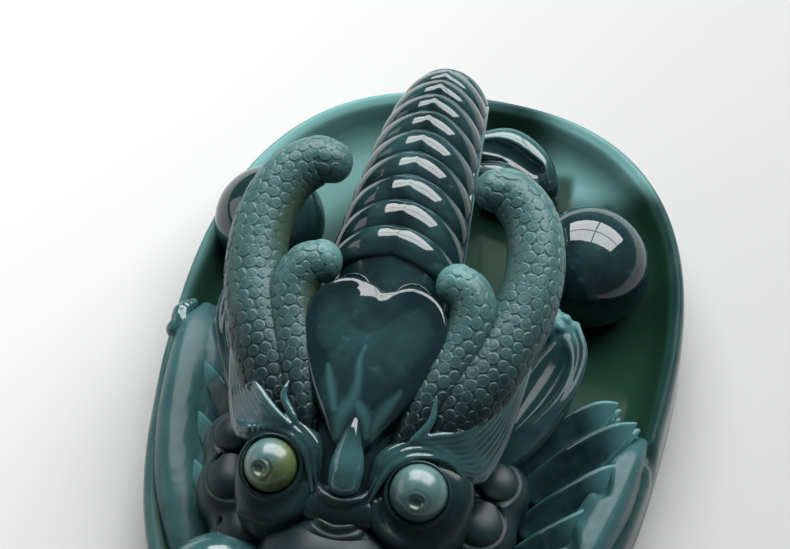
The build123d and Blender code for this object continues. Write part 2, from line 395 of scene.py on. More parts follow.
def make_tray_rim():
    """The wall round the floor: an outer face, a rounded lip, and a hollow inner face that runs
    out into the floor. Its colour holds painted light: a painted highlight on the lip's left
    part, painted light on the upper left inner face, and a painted reflection of the window on
    a patch of the upper right one."""
    angle = np.linspace(0, 2 * math.pi, 520, endpoint=False)
    section = [(0.30, 2.16), (0.03, 2.24), (0.0, 2.6), (0.0, 4.6), (0.04, 6.2), (0.16, 7.1),
               (0.36, 7.72), (0.62, 7.97), (0.86, 7.97), (1.10, 7.74), (1.32, 7.66),
               (1.56, 7.40), (1.9, 6.7), (2.3, 5.8), (2.9, 5.0), (3.9, 4.35), (5.4, 3.92),
               (7.4, 3.62), (9.8, 3.44), (10.8, 3.3), (10.2, 3.0), (6.0, 2.7), (2.0, 2.4)]
    rows = curve([(a, b, 0.0) for a, b in section], 110)
    rings = []
    for inset, z, _ in rows:
        x, y = outline(inset, angle)
        lower_half = smoothstep(-2.0, -7.0, y)
        share = max((z - FLOOR_TOP) / (RIM_TOP - FLOOR_TOP), 0)
        notch = np.exp(-((y + 3.6) / 0.8) ** 2) * smoothstep(18.0, 22.0, x)
        drop = 1.1 * lower_half * smoothstep(2.4, 0.2, inset) + notch
        x, y = outline(inset + 0.5 * notch * share, angle)
        rings.append(np.stack([x, y, z - drop * share], 1))
    rings = np.array(rings)
    count, across = rings.shape[:2]
    index = np.arange(count * across).reshape(count, across)
    inset = np.repeat(rows[:, :1], across, 1)
    x, y = rings[..., 0], rings[..., 1]
    # Painted light: the upper left inner face is painted as lit, a patch of the upper right one is
    # painted with a reflection of the window, and the lip's left part gets a painted highlight.
    upper_left = smoothstep(5.0, -9.0, x) * smoothstep(5.0, 22.0, y)
    upper_right = smoothstep(3.0, 9.0, x) * smoothstep(24.5, 28.5, y)
    lip = smoothstep(1.5, 0.9, inset) * smoothstep(3.0, 6.0, rings[..., 2])
    inside = smoothstep(0.25, 1.0, inset)
    near_wall = smoothstep(11.0, 5.0, inset) * inside
    edge = 5.2 + 1.1 * np.sin(angle * 19.0) + 0.5 * np.sin(angle * 31.0)
    painted_window_patch = upper_right * smoothstep(edge + 0.9, edge - 0.9, inset) * inside
    light = (0.18 * lip * smoothstep(4.0, -8.0, x) + 0.80 * upper_left * near_wall
             + 0.85 * painted_window_patch + OUTSIDE_LIGHT * (1 - inside))
    green = smoothstep(0.9, 1.6, inset) * (1 - 0.7 * upper_left) * (1 - painted_window_patch)
    dull = 0.05 * smoothstep(2.0, 6.0, inset)
    add_piece("tray_rim_wall", ["tray_rim"], "jade_tray", rings.reshape(-1, 3),
              ring_quads(np.vstack([index, index[:1]])),
              tones={"light": light, "green": green, "dull": dull})


def make_rim_scroll():
    clay = Clay((-25.2, -2.6, 5.6), (-19.6, 5.4, 10.4), 0.11)
    clay.strand([(-21.2, -1.6, 7.2, 0.5), (-22.2, 0.6, 7.9, 0.9), (-22.7, 2.2, 8.2, 0.9),
                 (-22.0, 3.7, 8.0, 0.5)], 0.2)
    clay.ball((-23.0, 0.6, 7.7), (0.8, 0.9, 0.9), blend=0.25)
    clay.finish("rim_scroll", "knob", "jade_polished", tone={"light": 0.45})


# ---- the crest -------------------------------------------------
CREST = [(-5.4, 22.7, 6.1), (-3.2, 23.9, 6.3), (0.4, 25.5, 6.2), (2.5, 26.2, 6.0),
         (9.0, 27.0, 5.4), (15.5, 26.8, 4.8), (21.0, 25.2, 4.2), (25.0, 22.6, 3.6),
         (27.6, 18.8, 2.8)]
CREST_PLATES = 10
PLATES_START, PLATES_END = 0.4, 27.2
CREST_ARCH = 5.6


def crest_at(y):
    """The crest's top and half-width at places along Y."""
    dense = curve(CREST, 200)
    return np.interp(y, dense[:, 0], dense[:, 1]), np.interp(y, dense[:, 0], dense[:, 2])


def crest_section(y, turn, swell):
    """A point of the crest's arch. turn is 0 at the ridge and +-1 at the foot of the arch, and
    below that the flank goes straight down."""
    top, half = crest_at(y)
    over = np.clip(np.abs(turn), 0, 1)
    quarter = over * math.pi / 2
    x = np.sign(turn) * (half + swell) * np.sin(quarter)
    z = top - CREST_ARCH + (CREST_ARCH + swell) * np.cos(quarter) ** 1.1
    return np.stack([x + HEAD_X, y, z - np.maximum(np.abs(turn) - 1, 0) * 7.0], -1)


def make_crest_spine():
    """The wall of stone under the plates: smooth flanks with a ridge along their top edge."""
    rows, across = 150, 120
    y, lap = np.meshgrid(np.linspace(-3.2, 27.3, rows), np.linspace(0, 1, across), indexing="ij")
    turn = (lap * 2 - 1) * 1.9
    edge = np.where(turn > 0, 0.86, 1.02)
    margin = 0.8 * np.exp(-((np.abs(turn) - edge) / 0.06) ** 2)
    points = crest_section(y, np.clip(turn, -1.2, 1.2), -0.55 + margin)
    down = smoothstep(1.2, 1.9, np.abs(turn))
    foot = FLOOR_TOP - 0.4
    points[..., 2] = points[..., 2] * (1 - down) + foot * down
    spread = 1 + 0.10 * down
    points[..., 0] = (points[..., 0] - HEAD_X) * spread + HEAD_X
    light = 0.5 * margin + 0.1 * down
    green = 0.7 * smoothstep(0.08, 0.2, np.abs(turn) - edge)
    end = smoothstep(24.5, 27.3, y)
    points[..., 2] -= 2.2 * end ** 2 * (1 - down)
    add_skin("crest_wall", ["crest_spine"], "jade_polished", points,
             {"light": light, "green": green})


def make_crest_plate(number):
    """One rounded saddle plate: proud in its middle, with a peak that points to the crest's tip."""
    pitch = (PLATES_END - PLATES_START) / CREST_PLATES
    start = PLATES_START + pitch * number
    across, around = 130, 44
    way = np.linspace(0, 1, around // 2)
    lap, u = np.meshgrid(np.linspace(-1, 1, across), np.append(way, way[::-1]), indexing="ij")
    turn = np.where(lap > 0, lap * 0.80, lap * 0.96)
    outer = np.arange(around) < around // 2
    swell = 0.62 * np.sin(math.pi * np.clip(u, 0, 1) ** 0.8) ** 0.8 - 0.32
    swell = np.where(outer, swell, -1.3)
    swell *= 1.0 + 0.25 * np.exp(-(lap / 0.12) ** 2) * outer
    peak = (0.6 + 0.08 * number) * (np.exp(-np.abs(lap) / 0.28) - 0.35)
    lean = -1.9 * np.abs(lap) ** 1.7
    y = start + pitch * (u * 1.06 - 0.03) + peak * 0.55 + lean * 0.35
    ridge = 1 - 0.25 * smoothstep(0.0, 0.1, np.abs(lap))
    points = crest_section(np.clip(y, -5.0, 27.4), turn, swell * ridge)
    tip = smoothstep(24.5, 27.3, y)
    points[..., 2] -= 2.2 * tip ** 2
    # The tone paints a dim highlight into the grooves between plates, and makes the plates paler
    # towards the crest's tip.
    groove = np.where(outer, 1 - np.sin(math.pi * u) ** 0.5, 0)
    light = 0.12 * groove + 0.12 * smoothstep(10, 27, y)
    name = f"crest_plate_{number + 1:02d}"
    add_skin(name + "_saddle", [name], "jade_polished", points, {"light": light})


# ---- the horns -------------------------------------------------
BEAM = [(6.6, -15.6, 16.4, 2.0), (7.6, -12.4, 18.0, 2.8), (9.2, -9.0, 19.4, 3.1),
        (10.6, -6.0, 20.5, 3.05), (12.1, -1.6, 22.0, 2.85), (12.4, 3.0, 23.6, 2.7),
        (11.2, 6.9, 25.0, 2.55), (9.0, 8.8, 26.0, 2.3), (7.3, 8.7, 26.4, 1.9)]
TINE = [(3.9, -16.4, 17.8, 0.9), (4.9, -13.6, 19.3, 1.5), (6.2, -9.9, 20.6, 2.0),
        (7.6, -6.2, 21.8, 2.2), (8.1, -3.4, 23.0, 2.2), (7.4, -1.6, 24.0, 2.1),
        (6.0, -0.9, 24.5, 1.9)]
SCALE_PITCH = 1.16
HORN_STEP = 0.075


def pebbles(along, turn, radius, salt):
    """How proud each point of a horn stands, from rows of round scales cut with a ring drill, and
    a tone that paints highlights on the scales' discs and glints on their ring edges. along is the
    distance from the root and turn goes from 0 to 1 round the horn."""
    row_step = SCALE_PITCH * 0.87
    base = np.rint(along / row_step)
    centre_radius = radius.mean(axis=1)
    best = np.full(along.shape, 9.0)
    ring = np.zeros(along.shape)
    for shift in (-1, 0, 1):
        row = base + shift
        at = np.interp(row * row_step, along[:, 0], centre_radius)
        count = np.maximum(np.rint(2 * math.pi * at / SCALE_PITCH), 5)
        offset = 0.5 * (row % 2) + 0.35 * scatter(row, 1, salt)
        cell = np.floor(turn * count - offset)
        for step in (0, 1):
            j = cell + step
            key = j % count
            aside = (scatter(row, key, salt) - 0.5) * 0.30
            forward = (scatter(row, key, salt + 3) - 0.5) * 0.26
            size = SCALE_PITCH * (0.42 + 0.10 * scatter(row, key, salt + 5))
            across = (turn * count - offset - j - aside) / count * 2 * math.pi * at
            away = along - (row + forward) * row_step
            distance = np.hypot(across, away) / size
            best = np.minimum(best, distance)
            ring = np.maximum(ring, np.exp(-((distance - 0.88) / 0.10) ** 2))
    disc = smoothstep(1.06, 0.90, best)
    dome = 1 - np.clip(best, 0, 1) ** 2
    return 0.05 * disc + 0.05 * dome + 0.045 * ring, 0.5 * disc + ring - 0.25 * dome


def make_horn(side, node, path, salt):
    rows = curve(path, 60)
    length = np.linalg.norm(np.diff(rows[:, :3], axis=0), axis=1).sum()
    rows = curve(path, int(length / HORN_STEP))
    centre, radius = rows[:, :3], rows[:, 3]
    tip_radius = radius[-1]
    sides, ups = frames_along(centre)
    across = int(2 * math.pi * radius.max() / HORN_STEP)
    turn = np.linspace(0, 1, across, endpoint=False)[None, :]
    ahead = np.gradient(centre, axis=0)[-1]
    ahead /= np.linalg.norm(ahead)
    cap = np.linspace(0, 1, int(tip_radius * 1.5 / HORN_STEP))[1:-1] * math.pi / 2
    centre = np.vstack([centre, centre[-1] + np.outer(np.sin(cap) * tip_radius * 0.9, ahead)])
    radius = np.concatenate([radius, np.cos(cap) * tip_radius])
    sides, ups = (np.vstack([d, np.repeat(d[-1:], len(cap), 0)]) for d in (sides, ups))
    steps = np.linalg.norm(np.diff(centre, axis=0), axis=1)
    thinning = np.abs(np.diff(radius))
    along = np.concatenate([[0], np.cumsum(np.hypot(steps, thinning))])[:, None] + 0 * turn
    wide = radius[:, None] + 0 * turn
    proud, disc = pebbles(along, turn + 0 * along, wide, salt)
    out = (sides[:, None, :] * np.cos(turn * 2 * math.pi)[..., None]
           + ups[:, None, :] * np.sin(turn * 2 * math.pi)[..., None])
    inward = smoothstep(0.25, 0.9, -out[..., 0]) * smoothstep(0.45, 0.6, along / along.max())
    last = smoothstep(along.max() - 0.6, along.max() - 2.6, along)
    strength = (1 - 0.75 * inward) * (0.35 + 0.65 * last)
    points = centre[:, None, :] + out * (wide + proud * strength - 0.1)[..., None]
    # The tone holds painted light: the horn is painted darker low down and paler towards its top,
    # where the window's light falls, with painted highlights and glints on its scales.
    high = smoothstep(18.5, 26.5, points[..., 2])
    light = 0.72 * high - 0.18 + (0.15 * disc - 0.05) * strength
    if path is TINE:
        # A painted glow towards the tine's tip, stronger on the right.
        end = smoothstep(along.max() - 5.0, along.max() - 1.5, along)
        light = light + (0.50 if side == RIGHT else 0.25) * end
    green = inward * (0.75 if side == LEFT else 0.3)
    add_skin(node + "_scaled", [node], "jade_satin", head_points(points, side),
             {"light": light, "green": green})


# ---- the brow, the heart and the nose --------------------------
EYE_CENTRE, EYE_RADIUS = (6.6, -18.3, 17.0), 2.62
EYE_TILT = (33, 6, 0)
SKIN = {"light": by_height(0.03, 0.14, 15.0, 19.0), "dull": by_height(0, 0.24, 18.0, 13.5)}

HEART = [(0.0, -18.2), (2.1, -15.6), (4.4, -12.2), (6.1, -8.6), (6.5, -5.6), (5.2, -3.4),
         (2.7, -2.7), (0.7, -3.6), (0.0, -4.6)]

# Painted reflections on the heart's lower half, as pale streaks: rows of x, y and half-width.
HEART_REFLECTION_STREAKS = [
    [(-0.4, -8.6, 0.05), (-0.6, -9.9, 0.12), (-0.4, -11.5, 0.20), (-0.5, -12.9, 0.34),
     (-1.2, -14.5, 0.46), (-1.3, -16.1, 0.36)],
    [(0.0, -13.4, 0.25), (1.0, -14.4, 0.36), (1.4, -15.7, 0.30)],
    [(-3.3, -10.6, 0.08), (-2.7, -12.1, 0.22), (-1.9, -14.1, 0.14)],
    [(3.5, -11.7, 0.10), (2.6, -13.3, 0.40), (2.0, -14.6, 0.42), (1.9, -15.8, 0.25)],
]


def heart_distance(x, y):
    """Distance to the heart's outline in plan, negative inside it."""
    half = curve([(a, b, 0) for a, b in HEART], 60)[:, :2]
    whole = np.vstack([half, (half * (-1, 1))[::-1]])
    nearest = np.full(np.broadcast(x, y).shape, 99.0)
    inside = np.zeros(nearest.shape, bool)
    for a, b in zip(whole, np.roll(whole, -1, axis=0)):
        d = b - a
        t = np.clip(((x - a[0]) * d[0] + (y - a[1]) * d[1]) / max(d.dot(d), 1e-9), 0, 1)
        nearest = np.minimum(nearest, np.hypot(x - a[0] - t * d[0], y - a[1] - t * d[1]))
        crosses = ((a[1] > y) != (b[1] > y)) & (x < a[0] + (y - a[1]) * d[0] / (d[1] or 1e-9))
        inside ^= crosses
    return np.where(inside, -nearest, nearest)


def make_heart():
    clay = Clay((-7.6, -19.4, 13.5), (7.6, -1.4, 27.2), 0.12)
    part, x, y, z = clay.whole()
    flat = heart_distance(x[:, :, 0], y[:, :, 0])[:, :, None].astype(np.float32)
    down = -4.0 - y
    slope = 25.3 - 0.34 * down - 0.006 * down ** 2 - 0.022 * x ** 2
    clay.join(part, flat, 0)
    clay.cut(part, slope - z, 0.6)
    clay.ball((-0.7, -4.9, 24.4), (1.4, 1.8, 0.8), (12, 0, 0), 1.1)
    clay.strands([(0.6, -4.3, 24.9, 0.06), (1.6, -2.6, 25.0, 0.11), (2.9, -2.0, 24.8, 0.12),
                  (4.1, -2.6, 24.3, 0.10), (2.7, -3.1, 24.8, 0.12), (1.2, -3.9, 25.1, 0.12),
                  (0.6, -4.3, 24.9, 0.06)], 0.12, 24)

    def painted_heart_light(x, y, z):
        # Painted light: a glow in the heart's middle, painted shade towards its outline, and painted
        # reflections along the streaks.
        glow = 0.16 * np.exp(-(((x + 0.6) / 3.4) ** 2 + ((y + 8.5) / 4.2) ** 2))
        outline_shade = smoothstep(-2.4, -0.6, heart_distance(x, y))
        streak_reflection = np.zeros(x.shape)
        for streak in HEART_REFLECTION_STREAKS:
            for px, py, half in curve([(a, b, 0.0, c) for a, b, c in streak], 50)[:, [0, 1, 3]]:
                away = np.hypot(x - px, y - py)
                streak_reflection = np.maximum(streak_reflection, smoothstep(half * 2.0 + 0.2, 0.0, away))
        return glow - 0.22 * outline_shade + 0.55 * streak_reflection

    clay.finish("forehead_heart", "boss", "jade_polished", 0, {"light": painted_heart_light})


def make_nose_ridge():
    clay = Clay((-3.4, -22.6, 13.8), (3.4, -11.0, 24.8), 0.11)
    clay.strand([(0.1, -14.2, 20.9, 0.20), (0.1, -15.5, 20.2, 0.75), (0.1, -16.8, 19.3, 1.20),
                 (0.1, -18.0, 18.4, 1.50), (0.1, -18.9, 17.6, 1.45)], 0.1, 40)
    # The tone paints a glow of light through the knob's lower end.
    clay.finish("nose_ridge", "knob", "jade_polished", 0,
                {"light": lambda x, y, z: 0.75 * smoothstep(-14.5, -18.4, y)})


def make_snout_folds():
    """One soft fold that bows round the nose knob's lower end, and two wrinkled ones below it."""
    bow = ((-1.0, 1.7, -0.5, 0.20), (-0.7, 0.3, -0.2, 0.36), (0, -0.3, -0.2, 0.40),
           (0.7, 0.3, -0.2, 0.36), (1.0, 1.7, -0.4, 0.20))
    places = ((-20.9, 16.9, 2.6), (-23.0, 15.2, 2.5), (-25.0, 13.9, 2.2))
    for number, (y, z, half) in enumerate(places):
        clay = Clay((-5.4, y - 3.4, z - 4.2), (5.4, y + 3.8, z + 2.2), 0.11)
        clay.ball((0, y + 0.5, z - 1.5), (half + 1.4, 2.1, 1.6), (30, 0, 0), 0.2)
        for step in ((0.5,) if number == 0 else (-0.8, 0.0, 0.8)):
            wide = half - 0.35 * step
            rise = 0.55 * step
            clay.strand([(wide * a, y + step + b, z + c + rise, r) for a, b, c, r in bow], 0.4, 30)
        clay.finish(f"snout_fold_{number + 1}", "ridge", "jade_skin", 0, SKIN)


# The brow's flame lies between two edges that flow outwards from over the eye and up the horn.
BROW_EDGES = {
    RIGHT: ([(5.6, -14.8, 19.8), (7.2, -14.2, 20.0), (8.8, -13.5, 19.9), (10.2, -12.2, 19.9),
             (11.8, -9.4, 20.3), (13.0, -6.6, 20.2)],
            [(8.6, -15.5, 18.4), (10.1, -15.5, 17.5), (11.3, -14.9, 16.9), (12.0, -13.2, 17.0),
             (12.8, -10.4, 18.0), (13.8, -5.2, 19.4)]),
    LEFT: ([(5.6, -15.6, 19.7), (7.0, -14.8, 20.1), (8.6, -13.4, 20.4), (10.0, -11.4, 20.6),
            (11.2, -8.8, 20.9), (12.0, -5.6, 20.8)],
           [(9.2, -15.9, 18.5), (10.2, -15.2, 17.7), (10.9, -13.7, 17.7), (11.6, -11.6, 18.4),
            (12.2, -8.8, 19.2), (12.8, -4.8, 20.0)]),
}
BROW_HAIRS = 8


def horn_top(x, y):
    """How high the horn and its tine stand at a place on the head, or 0 beside them."""
    height = 0.0
    for path in (BEAM, TINE):
        ys = [row[1] for row in path[:5]]
        cx, cz, r = (np.interp(y, ys, [row[i] for row in path[:5]]) for i in (0, 2, 3))
        if abs(x - cx) < r:
            height = max(height, cz + math.sqrt(r * r - (x - cx) ** 2))
    return height


def make_brow(side, node):
    """A sheet of combed hairs that hugs the horn's root, with one finger that forks off it."""
    clay = Clay((1.2, -22.2, 14.6), (15.4, -2.2, 23.4), 0.10)
    upper, lower = (np.array(edge) for edge in BROW_EDGES[side])
    for number, share in enumerate(np.linspace(0, 1, BROW_HAIRS)):
        hair = upper * (1 - share) + lower * share
        hair[-1] += 0.35 * (number % 3) * np.array((0.3, 1.0, 0.1))
        hair = np.array([(x, y, max(z, horn_top(x, y) + 0.12), r)
                         for (x, y, z), r in zip(hair, (0.32, 0.38, 0.40, 0.36, 0.28, 0.10))])
        clay.strand(hair, 0.06, 30)
        clay.strand(hair * (1, 1, 1, 1.5) - (0, 0.2, 0.7, 0), 0.3, 14)
    fork = 0.0 if side == RIGHT else 1.6
    clay.strand([(5.4, -14.9, 19.9, 0.40), (6.5, -13.4 - fork * 0.2, 20.7, 0.36),
                 (6.6, -12.0 - fork * 0.6, 21.5 - fork * 0.2, 0.24),
                 (6.4, -10.6 - fork, 22.1 - fork * 0.4, 0.08)], 0.3, 16)
    for lift, radius in ((0.0, 0.26), (0.75, 0.24), (1.5, 0.28)):
        clay.strand([(2.5 - 0.2 * lift, -20.2 + lift, 16.9 + 0.1 * lift, 0.12),
                     (3.2 - 0.5 * lift, -18.6 + 0.7 * lift, 17.9 + 0.1 * lift, radius),
                     (4.1 - 0.5 * lift, -17.2 + 0.7 * lift, 18.8 + 0.2 * lift, radius),
                     (5.9 - 0.1 * lift, -16.1 + 0.8 * lift, 19.2 + 0.35 * lift, radius),
                     (8.3, -15.6 + 0.4 * lift, 18.7 + 0.2 * lift, radius),
                     (9.9 + 0.3 * lift, -16.1 + 0.4 * lift, 17.6 - 0.1 * lift, 0.15)], 0.22, 24)
    clay.ball((4.6, -15.9, 18.2), (2.6, 1.5, 1.2), (30, 0, 30), 0.5)
    # The flame is pale, with a painted sheen that grows towards its top.
    clay.finish(node, "flames", "jade_polished", side,
                {"light": by_height(0.20, 0.30, 18.5, 21.0), "dull": 0.03})


def make_eyelid(side, node):
    """The skin round the eye: a low almond that faces the way the eye looks, with a lid edge tight
    round the ball and a softer fold under it. The left one ends at the head's side."""
    clay = Clay((0.4, -25.6, 11.0), (14.2, -12.6, 20.8), 0.10)
    tilt = Euler([math.radians(a) for a in EYE_TILT]).to_matrix()
    if side == RIGHT:
        along_lid = tilt @ Euler((0, 0, math.radians(38))).to_matrix()
        almond = [math.degrees(a) for a in along_lid.to_euler()]
        clay.ball((6.7, -18.2, 15.5), (4.9, 3.9, 1.9), almond, 0.3)
        clay.ball((6.8, -18.4, 13.2), (4.4, 4.2, 3.2), (20, 0, 0), 1.2)
    else:
        clay.ball((5.6, -18.2, 15.8), (4.3, 4.5, 1.9), EYE_TILT, 0.3)
        clay.ball((5.8, -18.8, 13.0), (4.0, 4.4, 3.4), (20, 0, 0), 1.2)
    clay.ring((6.6, -18.75, 17.5), (2.80, 2.78), 0.16, EYE_TILT, 0.30)
    clay.strand([(2.9, -19.9, 16.4, 0.5), (3.6, -21.4, 15.4, 0.6), (5.6, -22.2, 14.4, 0.5),
                 (8.6, -21.6, 13.8, 0.3)], 0.8)
    clay.ball(EYE_CENTRE, (EYE_RADIUS + 0.03,) * 3, blend=0.05, cut=True)
    clay.finish(node, "orbit", "jade_skin", side, SKIN)


def make_eye(side, node):
    """A ball with its pupil cut by a ring drill, low on the ball, and hollowed inside."""
    centre = np.array(EYE_CENTRE)
    clay = Clay(centre - 3.2, centre + 3.2, 0.075)
    size = EYE_RADIUS if side == RIGHT else EYE_RADIUS - 0.18
    clay.ball(centre, (size,) * 3, blend=0)
    look = np.array((0.06, -0.80, 0.60) if side == RIGHT else (0.30, -0.70, 0.65))
    look /= np.linalg.norm(look)
    spot = centre + look * (size - 0.07)
    turn = (math.degrees(math.atan2(-look[1], look[2])), 8, 0)
    clay.ring(spot, (1.10, 1.05), 0.15, turn, 0.10, cut=True)
    clay.ball(spot + look * 0.30, (0.86, 0.86, 0.70), blend=0.10, cut=True)
    greenish = 0.9 if side == LEFT else 0.0
    tones = {"green": lambda x, y, z: greenish * smoothstep(19.8, 17.6, z + 0.7 * (x - 6.6)),
             "light": by_height(0.15, 0.5, 16.6, 19.4)}
    clay.finish(node, "ball", "jade_eye", side, tones)


# ---- the ears, the cheeks and the skull ------------------------
def make_ear(side, node):
    """A cupped leaf behind the horn. The left one lies closer to its horn."""
    tuck = 0.0 if side == RIGHT else 2.0
    clay = Clay((8.2, -13.4, 8.6), (19.6, 6.2, 18.4), 0.13)
    strands = [
        ([(11.6, -11.4, 12.2, 1.0), (13.2, -8.0, 13.0, 2.2), (14.8, -3.6, 13.8, 2.6),
          (15.6, 0.4, 14.2, 2.0), (15.2, 3.2, 14.6, 1.2)], 0.2, False),
        ([(12.8, -8.8, 15.4, 0.7), (14.3, -5.0, 16.5, 1.8), (15.4, -1.4, 16.8, 1.7),
          (15.4, 0.9, 16.4, 0.6)], 0.4, True),
        ([(11.8, -11.8, 12.8, 0.3), (14.9, -8.0, 14.3, 0.4), (17.2, -3.4, 15.1, 0.45),
          (17.6, 0.6, 15.3, 0.4), (16.4, 3.6, 15.6, 0.3)], 0.25, False),
    ]
    for points, blend, cut in strands:
        clay.strand(np.array(points) - (tuck, 0, 0, 0), blend, 70, cut)
    clay.ball((14.4 - tuck, 3.0, 15.2), (1.9, 1.7, 1.5), (0, 0, 30), 0.5)
    for turn in range(5):
        angle = turn * 1.25 + 0.4
        at = (14.4 - tuck + 1.0 * math.cos(angle), 3.1 + 0.9 * math.sin(angle), 16.3)
        clay.ball(at, (0.55, 0.55, 0.45), blend=0.15)
    tones = {"light": lambda x, y, z: 0.10 + 0.6 * smoothstep(0.5, 3.6, y)
             + 0.25 * smoothstep(15.4, 17.0, z)}
    clay.finish(node, "leaf", "jade_flame", side, tones)


CHEEKS = [((12.2, -12.9, 10.4), 3.3), ((11.5, -17.2, 9.5), 3.6), ((9.4, -21.4, 8.2), 3.4)]


def make_cheeks(side, node):
    """Three round curls that flow into one another."""
    clay = Clay((5.0, -25.6, 3.4), (16.6, -8.6, 15.4), 0.13)
    tuck = 0.0 if side == RIGHT else 1.1
    for (x, y, z), radius in CHEEKS:
        clay.ball((x - tuck, y, z), (radius, radius, radius * 1.1), blend=1.5)
    for (x, y, z), radius in CHEEKS:
        clay.ring((x - tuck + 0.3, y - 0.2, z + radius * 0.86),
                  (radius * 0.62, radius * 0.62), 0.10, (8, 10, 0), 0.5, cut=True)
    clay.keep_above()
    clay.finish(node, "whorls", "jade_skin", side, SKIN)


def make_skull():
    clay = Clay((-11.2, -24.0, 3.2), (11.2, 5.0, 21.2), 0.18)
    clay.ball((0, -9.5, 8.8), (10.3, 13.4, 11.6), blend=0)
    clay.strands([(0, -14.0, 19.0, 1.0), (4.4, -10.6, 18.6, 1.2), (7.0, -5.0, 18.4, 1.2)], 0.8)
    clay.keep_above()
    clay.finish("head_core", "form", "jade_skin", 0, SKIN)


def make_muzzle():
    clay = Clay((-8.6, -32.4, 6.0), (8.6, -13.4, 17.2), 0.15)
    clay.ball((0, -22.8, 9.6), (7.1, 8.5, 5.7), blend=0)
    clay.ball((0, -28.4, 12.4), (3.2, 2.7, 2.2), blend=1.6)
    clay.strands([(4.4, -17.6, 13.2, 1.0), (4.6, -22.0, 12.2, 1.1), (3.9, -26.4, 11.8, 0.9)], 1.2)
    clay.keep_above(6.6)
    clay.finish("snout", "form", "jade_skin", 0, SKIN)
    jaw = Clay((-7.2, -30.2, 3.2), (7.2, -15.0, 7.4), 0.15)
    jaw.ball((0, -22.4, 5.4), (6.2, 6.8, 2.6), blend=0)
    jaw.ring((0, -22.6, 6.0), (5.6, 6.2), 0.35, blend=0.3)
    jaw.keep_above()
    jaw.finish("lower_jaw", "form", "jade_skin", 0)


def make_nostril(side, node):
    clay = Clay((0.0, -32.6, 9.8), (7.0, -25.0, 16.8), 0.11)
    clay.ball((3.3, -28.4, 13.0), (2.3, 2.7, 2.2), blend=0)
    clay.ring((3.7, -29.7, 13.9), (1.25, 1.05), 0.35, (46, 14, 0), 0.3)
    clay.strand([(2.2, -26.4, 14.6, 0.5), (4.6, -26.2, 14.4, 0.6), (5.6, -28.0, 13.2, 0.5),
                 (5.2, -30.0, 12.0, 0.3)], 0.3)
    clay.strand([(3.9, -30.6, 14.6, 0.75), (3.5, -28.9, 12.9, 0.5)], 0.25, 4, cut=True)
    clay.finish(node, "wing", "jade_polished", side)


def make_mouth():
    lip = Clay((-9.0, -34.2, 5.6), (9.0, -20.8, 10.4), 0.13)
    half = np.array([(0, -31.7, 8.3, 1.0), (1.3, -32.1, 8.1, 1.25), (3.8, -31.0, 7.7, 1.2),
                     (6.4, -27.2, 7.9, 1.1), (6.9, -22.5, 8.2, 0.8)])
    lip.strand(np.vstack([half[:0:-1] * (-1, 1, 1, 1), half]), 0.2, 44)
    lip.finish("upper_lip", "curve", "jade_polished", 0)
    teeth = Clay((-6.4, -31.4, 2.9), (6.4, -27.4, 8.6), 0.1)
    teeth.strands([(4.4, -29.4, 7.6, 0.85), (4.7, -29.6, 5.4, 0.6), (4.4, -29.3, 3.7, 0.2)],
                  0.1, 8)
    teeth.finish("fangs", "pair", "jade_satin", 0, {"light": 0.5})


def make_whisker(side, node):
    clay = Clay((4.0, -33.2, 6.4), (16.4, -22.4, 13.4), 0.11)
    path = [(5.4, -29.4, 11.4, 1.0), (9.2, -31.0, 10.4, 0.95), (12.8, -29.6, 9.4, 0.8),
            (14.6, -26.4, 8.8, 0.7), (13.4, -24.2, 9.4, 0.45), (12.4, -25.2, 9.9, 0.3)]
    clay.strand(path, 0.1, 30)
    clay.strand([(x, y, z + r, 0.10) for x, y, z, r in path], 0.1, 30, cut=True)
    clay.finish(node, "curl", "jade_polished", side, {"light": 0.25})


def make_beard():
    clay = Clay((-7.4, -34.0, 3.0), (7.4, -25.4, 9.0), 0.12)
    for root, tip in ((-1.9, -4.6), (0.0, 0.0), (1.9, 4.6)):
        low = -31.9 + abs(tip) * 0.12
        clay.strand([(root, -27.0, 5.2, 0.9), ((root + tip) / 2, -29.6, 5.9, 1.1),
                     (tip, low + 0.9, 5.2, 0.6), (tip * 1.12, low, 5.0, 0.15)], 0.1, 14)
        clay.strand([(root, -27.6, 6.2, 0.1), ((root + tip) / 2, -29.6, 7.0, 0.14),
                     (tip, low + 0.9, 5.9, 0.1)], 0.1, 10, cut=True)
    clay.keep_above()
    clay.finish("beard", "tufts", "jade_polished", 0)


# ---- the mane, the pearls and the ornaments --------------------
def make_pearl(side, node):
    """A polished ball that stands on the floor. The right one is the larger."""
    centre, radius = ((15.5, 15.9, 8.3), 5.8) if side == RIGHT else ((15.4, 15.0, 7.9), 5.3)
    clay = Clay((9.2, 9.4, 3.2), (21.8, 22.2, 14.8), 0.16)
    clay.ball(centre, (radius,) * 3, blend=0)
    clay.keep_above()
    # The ball is painted paler towards its bottom: a painted reflection of the pale floor.
    clay.finish(node, "ball", "jade_polished", side,
                {"light": by_height(0, 0.40, 10.0, 5.5)})


